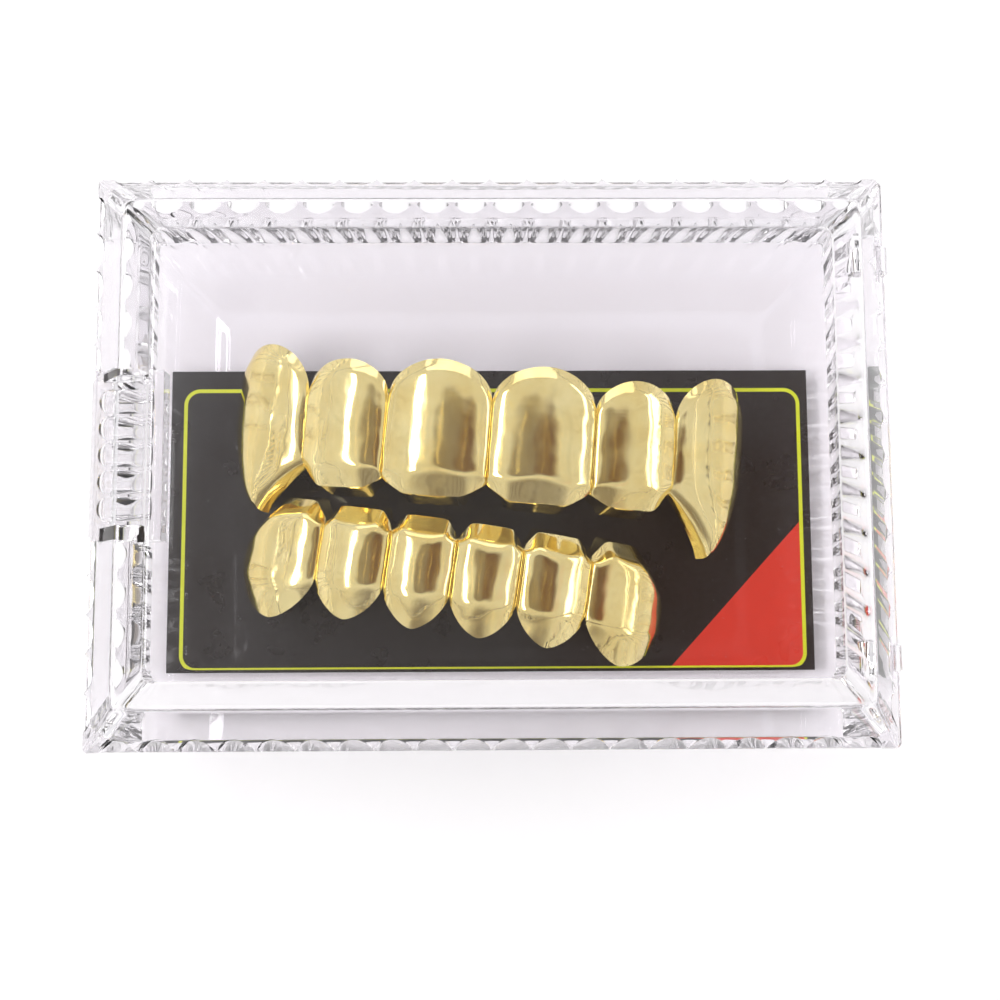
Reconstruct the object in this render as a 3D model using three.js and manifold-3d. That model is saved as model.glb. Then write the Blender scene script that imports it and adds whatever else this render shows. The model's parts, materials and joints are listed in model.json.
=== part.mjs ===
// Pair of gold fang dentures on a printed card, in a small clear box with a hinged lid.
// Millimetres, +Z up, +X along the box, +Y towards the gum side of the upper denture.
import * as THREE from "three";
import { mergeVertices } from "three/addons/utils/BufferGeometryUtils.js";
import Module from "manifold-3d";

// Box, driving sizes
const BOX_LENGTH = 76;
const BOX_WIDTH = 54.6;
const SEAM_HEIGHT = 14.6; // top of the base's rim
const LID_TOP = 21.5;
const SEAM_GAP = 0.4; // air between the rim and the lid's edge
const FLOOR = 1.5;
const WALL = 2.2; // from the rim's edge to the inside of a wall
const RIM_THICKNESS = 1.4;
const RIM_REACH = 0.15; // the straight rim stands this far out over the flutes
const HINGE_LEDGE = 0.53; // the rim stands out from under the lid on the hinge side
const LID_EDGE = 0.4; // upright edge below the lid's bevel
const BEVEL = 4.1; // the lid's top is this far in from its sides
const LID_ROOF = 1.3;
const ROOF_INSET = 6.6; // the inside of the roof, in from the sides

// Flutes in the walls
const FLUTE_PITCH = 3.65;
const FLUTE_DEPTH = 1.2;
const FLUTE_SIDES = 16;
const FLUTE_CORNER = 1.4; // least solid corner at each end of a fluted side
const GRIP_WIDTH = 13.6; // flat stretch left for the thumb grip

// Thumb grip in the lid
const GRIP_GROOVES = 5;
const GROOVE_RADIUS = 1.2;
const GROOVE_PITCH = 2.5;
const GRIP_DEPTH = 5.8; // how far the grip reaches in from the lid's side
const GRIP_FLOOR = 2.2; // groove bottoms, above the lid's lower edge
const GRIP_RIDGE = 0.85; // ridges between the grooves, above their bottoms
const GRIP_BACKING = 1.6; // plastic under the grooves

// Hinge
const EYE_RADIUS = 1.2;
const PIN_RADIUS = 0.5;
const PIN_CLEARANCE = 0.25;
const EYE_LENGTH = 2.4;
const EYE_SPACING = 38;
const HINGE_CLEARANCE = 0.3;
const HINGE_RISE = 0.8; // hinge axis above the rim

// Card
const CARD_WIDTH = 31.8;
const CARD_THICKNESS = 0.4;
const CARD_GAP = 0.3; // air under the card
const CARD_END_ROOM = 2.6; // between the card and each end wall
const CARD_FRONT_ROOM = 4.4; // and the front wall
const CARD_SHIFT = -0.2; // the card has slid this far along the box

// Dentures
const SHELL = 0.8;
const LIE_GAP = 0.3; // air between the dentures and the card
const UPPER = {
  name: "upper_denture",
  biteSide: -1, // the biting edge faces -Y
  place: { x: -0.1, y: 7.8, turn: -4.7 }, // on the card, from its centre
  capWidth: 9.9,
  capHeight: 13,
  capDepth: 2.7,
  columns: 10,
};
const LOWER = {
  name: "lower_denture",
  biteSide: 1,
  place: { x: -3.8, y: -6.75, turn: -8.3 },
  capWidth: 6.3,
  capHeight: 11,
  capDepth: 2.4,
  columns: 8,
};
// From the middle outwards. width is a share of capWidth; gum, bite, and the two ends of the joint to the
// next cap are shares of capHeight, measured from the denture's middle line; depth is a share of capDepth.
const UPPER_CAPS = [
  { turn: 7, width: 1, gum: 0.48, bite: 0.52, jointGum: 0.25, jointBite: 0.45, depth: 1, wall: 1 },
  { turn: 22, width: 0.86, gum: 0.465, bite: 0.49, jointGum: 0.27, jointBite: 0.36, depth: 0.96, wall: 1 },
  { turn: 39, width: 0.94, gum: 0.61, bite: 0.69, jointGum: 0.2, jointBite: 0.06, depth: 1, wall: 0, fang: true },
];
const LOWER_CAPS = [
  { turn: 6, width: 1, gum: 0.5, bite: 0.44, jointGum: 0.24, jointBite: 0.36, depth: 1, wall: 1 },
  { turn: 18, width: 1.1, gum: 0.5, bite: 0.46, jointGum: 0.24, jointBite: 0.36, depth: 1, wall: 1 },
  { turn: 34, width: 1.56, gum: 0.54, bite: 0.5, jointGum: 0.16, jointBite: -0.02, depth: 1.1, wall: 0.9 },
];
const WEB_DEPTH = 0.42; // depth of the sunken joint between caps, share of the cap's depth
const END_DEPTH = 0.16; // depth left at the free end of a denture, share of the cap's depth
const BITE_WALL = 1.5; // the biting edge is folded back this far behind the caps
const BITE_FLARE = 0.55; // and leans out by this much
const CROWN_POWER = 2.5; // roundness across a cap
const GUM_POWER = 1.9; // and of its gum arch
const BITE_POWER = 5; // squareness of a cap's biting edge
const END_POWER = 1.4; // which is rounded off at the free end of a denture
const FACE_POWER = 3.4; // flatness along a cap, from gum to bite
const FANG_OUTER_POWER = 1.7; // the fang's outer edge bows out
const FANG_INNER_POWER = 0.72; // and its inner edge is hollow
const FACE_ROWS = [-1, -0.985, -0.93, -0.8, -0.5, 0, 0.5, 0.8, 0.93, 0.985, 1];

const wasm = await Module();
wasm.setup();

function solidOf(geometry) {
  const bare = geometry.clone();
  bare.deleteAttribute("normal");
  bare.deleteAttribute("uv");
  const merged = mergeVertices(bare, 1e-5);
  return new wasm.Manifold(new wasm.Mesh({
    numProp: 3,
    vertProperties: Float32Array.from(merged.attributes.position.array),
    triVerts: Uint32Array.from(merged.index.array),
  }));
}

function geometryOf(solid) {
  const mesh = solid.getMesh();
  const geometry = new THREE.BufferGeometry();
  geometry.setAttribute("position", new THREE.BufferAttribute(mesh.vertProperties, 3));
  geometry.setIndex(new THREE.BufferAttribute(mesh.triVerts, 1));
  geometry.computeVertexNormals();
  return geometry;
}

// A block whose lower and upper rectangles may differ: each is { x0, x1, y0, y1, z }
function taperedBlock(lower, upper) {
  const geometry = new THREE.BoxGeometry(1, 1, 1);
  const position = geometry.attributes.position;
  for (let i = 0; i < position.count; i += 1) {
    const rect = position.getZ(i) > 0 ? upper : lower;
    const x = position.getX(i) > 0 ? rect.x1 : rect.x0;
    const y = position.getY(i) > 0 ? rect.y1 : rect.y0;
    position.setXYZ(i, x, y, rect.z);
  }
  return solidOf(geometry);
}

function block(x0, x1, y0, y1, z0, z1) {
  return taperedBlock({ x0, x1, y0, y1, z: z0 }, { x0, x1, y0, y1, z: z1 });
}

function rod(radius, length, sides, axis, centre) {
  const geometry = new THREE.CylinderGeometry(radius, radius, length, sides);
  if (axis === "x") geometry.rotateZ(Math.PI / 2);
  if (axis === "z") geometry.rotateX(Math.PI / 2);
  geometry.translate(centre.x, centre.y, centre.z);
  return solidOf(geometry);
}

// The box's plan, inset from its outer sides
function plan(inset, z, hingeInset = inset) {
  return {
    x0: inset - BOX_LENGTH / 2,
    x1: BOX_LENGTH / 2 - hingeInset,
    y0: inset - BOX_WIDTH / 2,
    y1: BOX_WIDTH / 2 - inset,
    z,
  };
}

// Cuts a row of upright flutes into each side of a body whose sides stand at the given plan
function cutFlutes(body, rect, z0, z1) {
  const reach = (FLUTE_PITCH ** 2 / 4 + FLUTE_DEPTH ** 2) / (2 * FLUTE_DEPTH);
  const cut = { radius: reach, out: reach - FLUTE_DEPTH, height: z1 - z0, z: (z0 + z1) / 2 };
  const sides = [
    { along: "x", length: BOX_LENGTH, at: rect.y0 - cut.out },
    { along: "x", length: BOX_LENGTH, at: rect.y1 + cut.out },
    { along: "y", length: BOX_WIDTH, at: rect.x0 - cut.out, grip: true },
    { along: "y", length: BOX_WIDTH, at: rect.x1 + cut.out },
  ];
  let result = body;
  for (const side of sides) {
    const count = Math.floor((side.length - 2 * FLUTE_CORNER) / FLUTE_PITCH);
    for (let i = 0; i < count; i += 1) {
      const along = (i - (count - 1) / 2) * FLUTE_PITCH;
      if (side.grip && Math.abs(along) < GRIP_WIDTH / 2) continue;
      const centre = side.along === "x"
        ? { x: along, y: side.at, z: cut.z }
        : { x: side.at, y: along, z: cut.z };
      result = result.subtract(rod(cut.radius, cut.height, FLUTE_SIDES, "z", centre));
    }
  }
  return result;
}

const hingeAxis = { x: BOX_LENGTH / 2 - EYE_RADIUS, z: SEAM_HEIGHT + HINGE_RISE };
const hingePlaces = [-EYE_SPACING / 2, EYE_SPACING / 2];

function baseSolid() {
  const wallPlan = plan(RIM_REACH, 0);
  const rimFloor = SEAM_HEIGHT - RIM_THICKNESS;
  let base = taperedBlock(wallPlan, { ...wallPlan, z: rimFloor });
  base = cutFlutes(base, wallPlan, -1, rimFloor + 1);
  base = base.add(taperedBlock(plan(0, rimFloor), plan(0, SEAM_HEIGHT)));
  base = base.subtract(taperedBlock(plan(WALL, FLOOR), plan(WALL, SEAM_HEIGHT + 1)));
  for (const y of hingePlaces) {
    const eye = rod(EYE_RADIUS, EYE_LENGTH, 24, "y", { x: hingeAxis.x, y, z: hingeAxis.z });
    const stem = block(
      hingeAxis.x - EYE_RADIUS, hingeAxis.x + EYE_RADIUS,
      y - EYE_LENGTH / 2, y + EYE_LENGTH / 2, rimFloor, hingeAxis.z,
    );
    const bore = rod(PIN_RADIUS + PIN_CLEARANCE, EYE_LENGTH + 1, 20, "y", { x: hingeAxis.x, y, z: hingeAxis.z });
    base = base.add(stem).add(eye).subtract(bore);
  }
  return base;
}

function lidSolid() {
  const edge = SEAM_HEIGHT + SEAM_GAP;
  const bevelFoot = edge + LID_EDGE;
  const footPlan = plan(0, edge, HINGE_LEDGE);
  let lid = taperedBlock(footPlan, { ...footPlan, z: bevelFoot });
  lid = lid.add(taperedBlock({ ...footPlan, z: bevelFoot }, plan(BEVEL, LID_TOP)));
  lid = cutFlutes(lid, footPlan, edge - 1, LID_TOP + 1);
  lid = lid.subtract(taperedBlock(plan(WALL, edge - 1), plan(WALL, edge)));
  lid = lid.subtract(taperedBlock(plan(WALL, edge), plan(ROOF_INSET, LID_TOP - LID_ROOF)));

  const side = -BOX_LENGTH / 2;
  const grooveFloor = edge + GRIP_FLOOR;
  const ridge = grooveFloor + GRIP_RIDGE;
  const backing = WALL / 2;
  lid = lid.add(block(
    side + backing, side + GRIP_DEPTH + backing,
    -(GRIP_WIDTH / 2 + backing), GRIP_WIDTH / 2 + backing, grooveFloor - GRIP_BACKING, ridge,
  ));
  lid = lid.subtract(block(
    side - 1, side + GRIP_DEPTH, -GRIP_WIDTH / 2, GRIP_WIDTH / 2, ridge, LID_TOP + 1,
  ));
  for (let i = 0; i < GRIP_GROOVES; i += 1) {
    lid = lid.subtract(rod(GROOVE_RADIUS, GRIP_DEPTH + 1, 20, "x", {
      x: side + (GRIP_DEPTH - 1) / 2,
      y: (i - (GRIP_GROOVES - 1) / 2) * GROOVE_PITCH,
      z: grooveFloor + GROOVE_RADIUS,
    }));
  }

  const eyeRoom = EYE_LENGTH + 2 * HINGE_CLEARANCE;
  for (const y of hingePlaces) {
    const centre = { x: hingeAxis.x, y, z: hingeAxis.z };
    lid = lid.subtract(rod(EYE_RADIUS + HINGE_CLEARANCE, eyeRoom, 24, "y", centre));
    lid = lid.add(rod(PIN_RADIUS, eyeRoom + 1, 16, "y", centre));
  }
  return lid;
}

function arc(u, power) {
  return (1 - Math.abs(u) ** power) ** (1 / power);
}

// Lays a denture's caps along its arch and returns one station for each column of its shell
function stations(denture, halfCaps) {
  const right = halfCaps.map((cap, i) => ({ ...cap, side: 1, place: i, last: i === halfCaps.length - 1 }));
  const left = right.map((cap) => ({ ...cap, side: -1 })).reverse();
  const inner = (cap) => (cap.place === 0 ? halfCaps[0] : halfCaps[cap.place - 1]);
  const half = halfCaps.map((cap) => cap.width * denture.capWidth);
  const span = half.reduce((sum, width, i) => sum + width * Math.cos(THREE.MathUtils.degToRad(halfCaps[i].turn)), 0);
  const drop = half.reduce((sum, width, i) => sum + width * Math.sin(THREE.MathUtils.degToRad(halfCaps[i].turn)), 0);
  const result = [];
  let x = -span;
  let z = 0;
  for (const cap of [...left, ...right]) {
    const turn = THREE.MathUtils.degToRad(cap.turn * cap.side);
    const width = cap.width * denture.capWidth;
    const dx = width * Math.cos(turn);
    const dz = -width * Math.sin(turn);
    const innerTurn = cap.place === 0 ? 0 : (halfCaps[cap.place - 1].turn + cap.turn) / 2;
    const outerTurn = cap.last ? cap.turn : (halfCaps[cap.place + 1].turn + cap.turn) / 2;
    const innerJoint = inner(cap);
    for (let i = 0; i <= denture.columns; i += 1) {
      if (i === 0 && result.length > 0) continue;
      const u = Math.sin(Math.PI * (i / denture.columns - 0.5)); // columns stand closer near the joints
      const outward = u * cap.side; // 1 at the end away from the middle
      const endTurn = outward > 0 ? outerTurn : innerTurn;
      const ease = Math.abs(u) ** 3;
      const normalTurn = THREE.MathUtils.degToRad(cap.turn + (endTurn - cap.turn) * ease) * cap.side;
      const joint = outward > 0 ? cap : innerJoint;
      const edgeDepth = outward > 0 && cap.last ? END_DEPTH : WEB_DEPTH;
      const crown = arc(u, CROWN_POWER);
      const fangEdge = outward > 0 ? FANG_OUTER_POWER : FANG_INNER_POWER;
      const biteEdge = outward > 0 && cap.last ? END_POWER : BITE_POWER;
      const biteShape = cap.fang ? 1 - Math.abs(u) ** fangEdge : arc(u, biteEdge);
      const depth = denture.capDepth * (cap.depth * (edgeDepth + (1 - edgeDepth) * crown));
      const height = denture.capHeight;
      result.push({
        x: x + (dx * (u + 1)) / 2,
        z: drop + z + (dz * (u + 1)) / 2,
        normalTurn,
        depth,
        gum: height * (joint.jointGum + (cap.gum - joint.jointGum) * arc(u, GUM_POWER)),
        bite: height * (joint.jointBite + (cap.bite - joint.jointBite) * biteShape),
        wall: cap.wall * BITE_WALL * THREE.MathUtils.smoothstep(1 - Math.abs(u), 0.12, 0.34),
      });
    }
    x += dx;
    z += dz;
  }
  return result;
}

// One point of the shell's outer face: rows run from the gum edge over the face to the folded bite
function facePoint(station, denture, row) {
  const away = denture.biteSide;
  let along;
  let out;
  if (row < FACE_ROWS.length) {
    const v = FACE_ROWS[row];
    const middle = (station.bite - station.gum) / 2;
    const reach = (station.bite + station.gum) / 2;
    along = middle + v * reach;
    out = station.depth * arc(v, FACE_POWER);
  } else {
    along = station.bite + (BITE_FLARE * station.wall) / BITE_WALL;
    out = -station.wall - SHELL / 4;
  }
  return new THREE.Vector3(
    station.x + out * Math.sin(station.normalTurn),
    away * along,
    station.z + out * Math.cos(station.normalTurn),
  );
}

function dentureGeometry(denture, halfCaps) {
  const line = stations(denture, halfCaps);
  const rows = FACE_ROWS.length + 1;
  const outer = line.map((station) => Array.from({ length: rows }, (_, row) => facePoint(station, denture, row)));
  const clampColumn = (i) => Math.min(Math.max(i, 0), line.length - 1);
  const clampRow = (j) => Math.min(Math.max(j, 0), rows - 1);
  const inner = outer.map((column, i) => column.map((point, j) => {
    const across = outer[clampColumn(i + 1)][j].clone().sub(outer[clampColumn(i - 1)][j]);
    const down = outer[i][clampRow(j + 1)].clone().sub(outer[i][clampRow(j - 1)]);
    const normal = across.cross(down).normalize().multiplyScalar(denture.biteSide);
    return point.clone().addScaledVector(normal, -SHELL);
  }));

  const points = [];
  for (const sheet of [outer, inner]) {
    for (const column of sheet) {
      for (const point of column) points.push(point.x, point.y, point.z);
    }
  }
  const sheetSize = line.length * rows;
  const at = (sheet, i, j) => sheet * sheetSize + i * rows + j;
  const faces = [];
  const quad = (a, b, c, d) => {
    if (denture.biteSide < 0) faces.push(a, b, c, a, c, d);
    else faces.push(a, c, b, a, d, c);
  };
  for (let i = 0; i + 1 < line.length; i += 1) {
    for (let j = 0; j + 1 < rows; j += 1) {
      quad(at(0, i, j), at(0, i, j + 1), at(0, i + 1, j + 1), at(0, i + 1, j));
      quad(at(1, i, j), at(1, i + 1, j), at(1, i + 1, j + 1), at(1, i, j + 1));
    }
    const last = rows - 1;
    quad(at(0, i, 0), at(0, i + 1, 0), at(1, i + 1, 0), at(1, i, 0));
    quad(at(0, i, last), at(1, i, last), at(1, i + 1, last), at(0, i + 1, last));
  }
  const end = line.length - 1;
  for (let j = 0; j + 1 < rows; j += 1) {
    quad(at(0, 0, j), at(1, 0, j), at(1, 0, j + 1), at(0, 0, j + 1));
    quad(at(0, end, j), at(0, end, j + 1), at(1, end, j + 1), at(1, end, j));
  }
  const geometry = new THREE.BufferGeometry();
  geometry.setAttribute("position", new THREE.Float32BufferAttribute(points, 3));
  geometry.setIndex(faces);
  geometry.computeVertexNormals();
  geometry.computeBoundingBox();
  return geometry;
}

const clearPlastic = () => new THREE.MeshStandardMaterial({
  color: "#e6e3ea", roughness: 0.08, metalness: 0, transparent: true, opacity: 0.35,
});
const gold = () => new THREE.MeshStandardMaterial({ color: "#dcc17a", roughness: 0.12, metalness: 1 });
const blackCard = () => new THREE.MeshStandardMaterial({ color: "#201d1e", roughness: 0.3, metalness: 0 });

const assembly = new THREE.Group();

function addMesh(name, geometry, material) {
  const mesh = new THREE.Mesh(geometry, material);
  mesh.name = name;
  assembly.add(mesh);
  return mesh;
}

addMesh("box_base", geometryOf(baseSolid()), clearPlastic());
addMesh("box_lid", geometryOf(lidSolid()), clearPlastic());

const cardLength = BOX_LENGTH - 2 * (WALL + CARD_END_ROOM);
const cardTop = FLOOR + CARD_GAP + CARD_THICKNESS;
const cardY = WALL + CARD_FRONT_ROOM + CARD_WIDTH / 2 - BOX_WIDTH / 2;
const cardGeometry = new THREE.BoxGeometry(cardLength, CARD_WIDTH, CARD_THICKNESS);
const card = addMesh("display_card", cardGeometry, blackCard());
card.position.set(CARD_SHIFT, cardY, cardTop - CARD_THICKNESS / 2);

for (const [denture, caps] of [[UPPER, UPPER_CAPS], [LOWER, LOWER_CAPS]]) {
  const geometry = dentureGeometry(denture, caps);
  const mesh = addMesh(denture.name, geometry, gold());
  const { x, y, turn } = denture.place;
  mesh.position.set(CARD_SHIFT + x, cardY + y, cardTop + LIE_GAP - geometry.boundingBox.min.z);
  mesh.rotation.z = THREE.MathUtils.degToRad(turn);
}

export default assembly;
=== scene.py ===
"""Pale gold fang dentures on a printed card, in a clear fluted box with a hinged lid."""
import json
import math

import bmesh
import bpy
import numpy as np
from bpy.props import FloatProperty, FloatVectorProperty, IntProperty, PointerProperty
from mathutils import Matrix, Vector, noise


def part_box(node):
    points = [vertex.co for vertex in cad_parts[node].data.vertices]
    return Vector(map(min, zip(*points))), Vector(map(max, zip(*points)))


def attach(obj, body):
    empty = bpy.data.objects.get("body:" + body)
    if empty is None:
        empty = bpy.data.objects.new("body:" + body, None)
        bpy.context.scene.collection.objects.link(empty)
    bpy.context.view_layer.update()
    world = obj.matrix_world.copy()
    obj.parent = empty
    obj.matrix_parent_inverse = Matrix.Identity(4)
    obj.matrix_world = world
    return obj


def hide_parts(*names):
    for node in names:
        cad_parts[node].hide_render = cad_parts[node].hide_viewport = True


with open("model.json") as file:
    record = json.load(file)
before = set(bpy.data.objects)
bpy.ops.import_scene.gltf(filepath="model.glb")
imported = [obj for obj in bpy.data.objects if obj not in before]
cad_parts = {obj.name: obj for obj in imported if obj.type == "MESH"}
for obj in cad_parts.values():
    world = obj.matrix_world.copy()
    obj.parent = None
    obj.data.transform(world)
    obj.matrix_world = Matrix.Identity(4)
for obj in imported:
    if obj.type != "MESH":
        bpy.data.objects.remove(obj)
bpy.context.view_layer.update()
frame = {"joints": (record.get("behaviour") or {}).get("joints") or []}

bl_info = {
    "name": "Fang dentures in a display box",
    "version": (1, 0, 0),
    "blender": (4, 5, 0),
    "location": "View3D > Sidebar > Dentures",
    "description": "Gold fang dentures on a printed card in a clear box with a hinged lid",
    "category": "Add Mesh",
}

MM = 0.001
BASE_LOW, BASE_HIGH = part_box("box_base")
LID_LOW, LID_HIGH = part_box("box_lid")
CARD_LOW, CARD_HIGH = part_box("display_card")
UPPER_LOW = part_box("upper_denture")[0]
LOWER_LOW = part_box("lower_denture")[0]
HINGE = Vector(frame["joints"][0]["pos_m"])

# The box: heights above its underside, and insets from its outer sides
RIM_FOOT = 13.2 * MM
RIM_TOP = 14.6 * MM
LID_FOOT = 15.0 * MM
BEVEL_FOOT = 15.4 * MM
ROOF_INNER = LID_HIGH.z - 1.3 * MM
ROOF_INSET = 6.6 * MM
RIM_REACH = 0.15 * MM
HINGE_LEDGE = BASE_HIGH.x - LID_HIGH.x
CORNER = 0.5 * MM
CORNER_SOLID = 1.4 * MM
FLUTE_STEPS = 12
CORNER_STEPS = 6
BEVEL_FILLET = 0.3 * MM
FLOOR_FILLET = 0.5 * MM
INNER_CORNER = 0.9 * MM
WINDOW_CORNER = 1.3 * MM
EDGE_SOFT = 0.12 * MM

# Hinge
EYE_RADIUS = 1.2 * MM
EYE_LENGTH = 2.4 * MM
EYE_OFFSET = 19 * MM
PIN_RADIUS = 0.5 * MM
PIN_CLEARANCE = 0.25 * MM
HINGE_CLEARANCE = 0.3 * MM

# Runs and inward directions of the box's front, hinge side, back and grip side
SIDES = (
    (Vector((1, 0, 0)), Vector((0, 1, 0))),
    (Vector((0, 1, 0)), Vector((-1, 0, 0))),
    (Vector((-1, 0, 0)), Vector((0, -1, 0))),
    (Vector((0, -1, 0)), Vector((1, 0, 0))),
)
GRIP_SIDE = 3
GROOVE_START = 1.4 * MM
GROOVE_RISE = 2.2 * MM
GROOVE_BACKING = 1.6 * MM
RIDGE_HEIGHT = 0.85 * MM
CUT_PAST = 1 * MM

# Dentures. Widths are shares of the cap width. Gum, bite and the two ends of the joint to the next cap
# are shares of the cap height, from the denture's middle line.
UPPER = {
    "name": "gold_upper_denture",
    "node": "upper_denture",
    "low": UPPER_LOW,
    "bite_side": -1,
    "place": (-0.3, 3.0),
    "turn": -4.7,
    "cap_width": 9.9,
    "cap_height": 13.0,
    "cap_depth": 2.7,
    "facet": 2.3,
    "facet_drop": 0.55,
    "chamfer": 0.42,
    "gum_power": 2.0,
    "gum_facet": 1.3,
    "gum_line": 0.3,
    "bow": 0.12,
    "caps": (
        dict(turn=7, width=1, gum=0.48, bite=0.53, joint_gum=0.19, joint_bite=0.42, depth=1, wall=1),
        dict(turn=22, width=0.86, gum=0.465, bite=0.5, joint_gum=0.21, joint_bite=0.33, depth=0.96, wall=1),
        dict(turn=39, width=1.04, gum=0.61, bite=0.69, joint_gum=0.2, joint_bite=0.04, depth=1, wall=0,
             right_bite=0.79, fang=1),
    ),
}
LOWER = {
    "name": "gold_lower_denture",
    "node": "lower_denture",
    "low": LOWER_LOW,
    "bite_side": 1,
    "place": (-4.0, -11.1),
    "turn": -8.3,
    "cap_width": 6.3,
    "cap_height": 11.0,
    "cap_depth": 2.4,
    "facet": 2.2,
    "facet_drop": 0.8,
    "chamfer": 0.34,
    "gum_power": 1.6,
    "gum_facet": 3.2,
    "gum_line": 1.0,
    "bow": 0.12,
    "caps": (
        dict(turn=6, width=1, gum=0.49, bite=0.5, joint_gum=0.16, joint_bite=0.35, depth=1, wall=1),
        dict(turn=18, width=1.1, gum=0.49, bite=0.51, joint_gum=0.16, joint_bite=0.35, depth=1, wall=1),
        dict(turn=34, width=1.56, gum=0.56, bite=0.54, joint_gum=0.16, joint_bite=-0.02, depth=1.1, wall=0.9),
    ),
}
CAP_COLUMNS = 34
FACE_ROWS = 34
FOLD_ROWS = 7
SHELL = 0.8
FOLD_SHELL = 0.25
WEB_DEPTH = 0.44
END_DEPTH = 0.16
BITE_WALL = 1.5
BITE_FLARE = 0.55
CROWN_BEND = 0.72
END_POWER = 1.4
CREASE_SOFTNESS = 0.16
GUM_FALL = 0.36
FACE_POWER = 3.4
FANG_OUTER_POWER = 1.7
FANG_INNER_POWER = 0.72

# Card print, from the part's own axes
BORDER_LEFT, BORDER_RIGHT = -31.9 * MM, 32.0 * MM
BORDER_FRONT, BORDER_BACK = -19.9 * MM, 9.0 * MM
RED_CORNER_BACK = -4.7 * MM
RED_CORNER_LEFT = 18.1 * MM

# Camera, as the photograph was taken
CAMERA_PLACE = Vector((-1.15, -18.3, 142.0)) * MM
CAMERA_TILT = math.radians(6.5)
CAMERA_AZIMUTH = math.radians(6.9)
CAMERA_ROLL = math.radians(6.65)
CAMERA_LENS = 48.67
FLOOR_GAP = 0.05 * MM
CLEAR_BOUNCES = 20

# Surroundings: pale all round, darker low in front and overhead, and brown near the photographer
WORLD_PALE = (0.93, 0.925, 0.945, 1)
WORLD_FRONT = (0.30, 0.27, 0.26, 1)
WORLD_OVERHEAD = (0.33, 0.29, 0.26, 1)
WORLD_BROWN = (0.20, 0.12, 0.08, 1)
BROWN_WAY = (0.31, 0.0, 0.95)
FRONT_WAY = (0.0, -0.86, 0.51)

# Materials
PLASTIC = "moulded_clear_plastic"
GOLD = "pale_gold_plating"
PRINT = "card_print"
SHADOW_SHARE = 0.93


def length_property(name, default, description):
    return FloatProperty(name=name, default=default, unit="LENGTH", precision=5, description=description)


def colour_property(name, default, description):
    return FloatVectorProperty(
        name=name, default=default, subtype="COLOR", size=4, min=0, max=1, description=description
    )


class DentureBoxSettings(bpy.types.PropertyGroup):
    """Sizes and finish of the clear box"""

    flute_pitch: length_property("Flute pitch", 3.65 * MM, "Distance from one wall flute to the next")
    flute_depth: length_property("Flute depth", 1.2 * MM, "How far a flute reaches into the wall")
    wall: length_property("Wall", 2.2 * MM, "From the rim's edge to the inside of a wall")
    floor: length_property("Floor", 1.5 * MM, "Thickness of the tray's floor")
    bevel: length_property("Bevel", 4.1 * MM, "Inset of the lid's top from its sides")
    groove_count: IntProperty(name="Grooves", default=5, min=1, description="Grooves in the thumb grip")
    groove_pitch: length_property("Groove pitch", 2.5 * MM, "Distance between grip grooves")
    groove_radius: length_property("Groove radius", 1.2 * MM, "Radius of a grip groove")
    grip_width: length_property("Grip width", 13.6 * MM, "Length of the recess for the thumb")
    grip_depth: length_property("Grip depth", 6.4 * MM, "How far the grip reaches in from the lid's side")
    plastic: colour_property("Plastic", (0.95, 0.94, 0.953, 1), "Tint of the clear plastic")


class DentureSettings(bpy.types.PropertyGroup):
    """Finish of the gold caps"""

    gold: colour_property("Gold", (0.93, 0.80, 0.38, 1), "Light tone of the plating")
    gold_deep: colour_property("Deep gold", (0.86, 0.69, 0.27, 1), "Warmer tone of the plating")
    dent: length_property("Dents", 0.05 * MM, "Depth of the soft dents in the metal")


class DentureCardSettings(bpy.types.PropertyGroup):
    """Print of the card"""

    black: colour_property("Black", (0.008, 0.007, 0.0075, 1), "Main ink")
    border: colour_property("Border", (0.62, 0.68, 0.02, 1), "Border line")
    red: colour_property("Red", (0.62, 0.035, 0.02, 1), "Corner")
    border_width: length_property("Border width", 0.38 * MM, "Width of the border line")
    border_radius: length_property("Border radius", 1.5 * MM, "Radius of the border's corners")


class DentureStageSettings(bpy.types.PropertyGroup):
    """Light around the box"""

    floor: colour_property("Floor", (0.96, 0.96, 0.96, 1), "Pale floor")
    softbox: FloatProperty(
        name="Softbox", default=2.0, min=0, unit="POWER", description="Power of the main light"
    )


def add_node(tree, kind, inputs=(), **settings):
    """Adds a node, sets its properties, then links or sets its inputs."""
    node = tree.nodes.new(kind)
    for key, value in settings.items():
        setattr(node, key, value)
    for key, value in dict(inputs).items():
        if isinstance(value, bpy.types.NodeSocket):
            tree.links.new(value, node.inputs[key])
        else:
            node.inputs[key].default_value = value
    return node


def calculate(tree, operation, *values):
    """A Math node's result."""
    node = add_node(tree, "ShaderNodeMath", enumerate(values), operation=operation)
    return node.outputs[0]


def new_material(name):
    """A material with an empty tree, its Principled shader and its output."""
    material = bpy.data.materials.new(name)
    material.use_nodes = True
    tree = material.node_tree
    tree.nodes.clear()
    shader = tree.nodes.new("ShaderNodeBsdfPrincipled")
    output = tree.nodes.new("ShaderNodeOutputMaterial")
    tree.links.new(shader.outputs[0], output.inputs["Surface"])
    return material, tree, shader, output


def object_noise(tree, scale, detail=2, stretch=(1, 1, 1), turn=0):
    """Noise on Object coordinates. The scale is per metre."""
    place = add_node(tree, "ShaderNodeTexCoord").outputs["Object"]
    mapping = add_node(
        tree, "ShaderNodeMapping", {"Vector": place, "Rotation": (0, 0, turn), "Scale": stretch}
    )
    node = add_node(
        tree, "ShaderNodeTexNoise", {"Vector": mapping.outputs[0], "Scale": scale, "Detail": detail}
    )
    return node.outputs[0]


def remap(tree, value, low, high, to_low, to_high):
    node = add_node(
        tree,
        "ShaderNodeMapRange",
        {"Value": value, "From Min": low, "From Max": high, "To Min": to_low, "To Max": to_high},
        clamp=True,
    )
    return node.outputs[0]


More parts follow.
